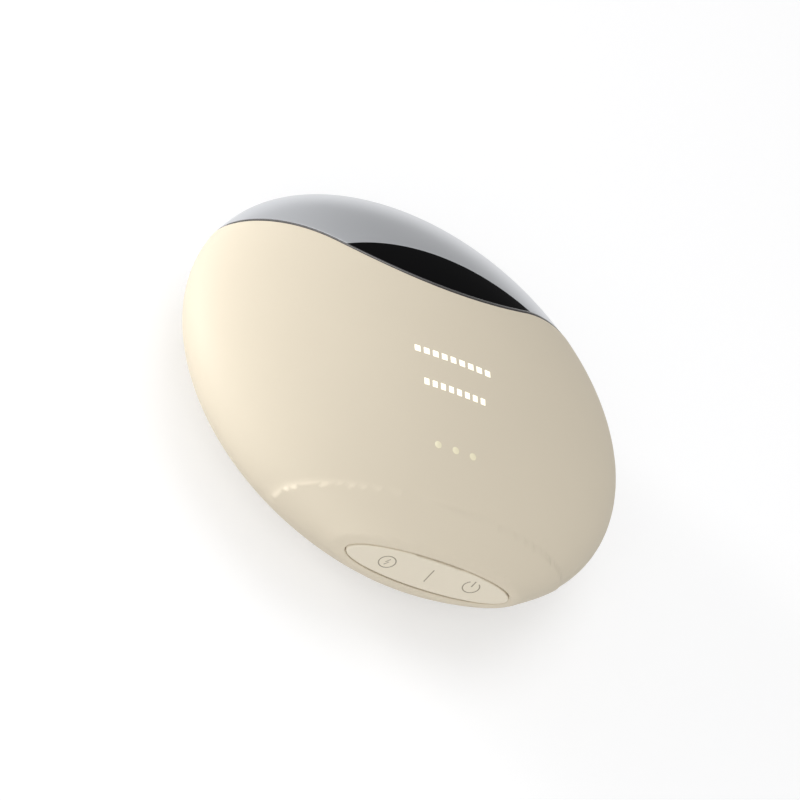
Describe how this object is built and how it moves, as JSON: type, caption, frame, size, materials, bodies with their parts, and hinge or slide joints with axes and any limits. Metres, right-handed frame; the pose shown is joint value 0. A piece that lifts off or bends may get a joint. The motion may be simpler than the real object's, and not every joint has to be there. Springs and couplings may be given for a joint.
{
  "type": "facial toning device",
  "caption": "Round palm-sized facial toning device with a polished metal head, dark light window, lit front marks and a rocking key plate.",
  "frame": {"origin": "centre of the object's box, on the flat resting face of the back cover", "axes": "+X to the right of the front, +Y towards the metal head, +Z out of the front"},
  "size_m": [0.09, 0.0878, 0.0306],
  "materials": {
    "shell": "soft-touch satin",
    "cover": "soft-touch satin",
    "key": "satin",
    "head_metal": "polished",
    "trim_metal": "polished",
    "window": "gloss",
    "seal": "matt",
    "inner_plastic": "matt",
    "circuit_board": "solder mask",
    "chips": "moulded",
    "red_light": "clear",
    "warm_light": "lit",
    "contact_metal": "gold plated",
    "steel": "turned",
    "spreader_metal": "milled",
    "flex_film": "film",
    "cell_foil": "foil",
    "foam": "foam tape",
    "wire_red": "insulation",
    "wire_black": "insulation"
  },
  "bodies": {
    "housing": {"main_shell": "shell", "back_cover": "cover", "cover_seal": "seal", "trim_ring": "trim_metal", "head_gasket": "seal", "massage_head": "head_metal", "light_window": "window", "head_carrier": "inner_plastic", "led_board": "circuit_board", "red_leds": "red_light", "contact_springs": "contact_metal", "heat_spreader": "spreader_metal", "heater_film": "flex_film", "thermistor": "chips", "head_flex": "flex_film", "inner_frame": "inner_plastic", "frame_screws": "steel", "main_board": "circuit_board", "board_parts": "chips", "battery": "cell_foil", "battery_pad": "foam", "battery_leads": "wire_red", "light_mask": "inner_plastic", "light_guide": "warm_light", "indicator_leds": "warm_light", "motor_case": "steel", "motor_base": "circuit_board", "motor_shaft": "steel", "motor_boot": "seal", "key_pin": "steel", "key_frame": "inner_plastic", "key_board": "circuit_board", "key_switches": "chips", "key_flex": "flex_film", "charge_contacts": "contact_metal", "charge_magnets": "steel", "charge_board": "circuit_board", "charge_leads": "wire_black"},
    "key": {"key_plate": "key"},
    "rotor": {"motor_rotor": "steel"}
  },
  "joints": [
    {"name": "key_rock", "type": "hinge", "parent": "housing", "child": "key", "pos_m": [0, -0.04175, 0.0164], "axis": [0, 0, 1], "range_deg": [-1.5, 1.5], "stiffness_Nm_per_rad": 0.2},
    {"name": "rotor_spin", "type": "hinge", "parent": "housing", "child": "rotor", "pos_m": [0, 0.00395, 0.0195], "axis": [0, 0, 1], "continuous": true}
  ]
}
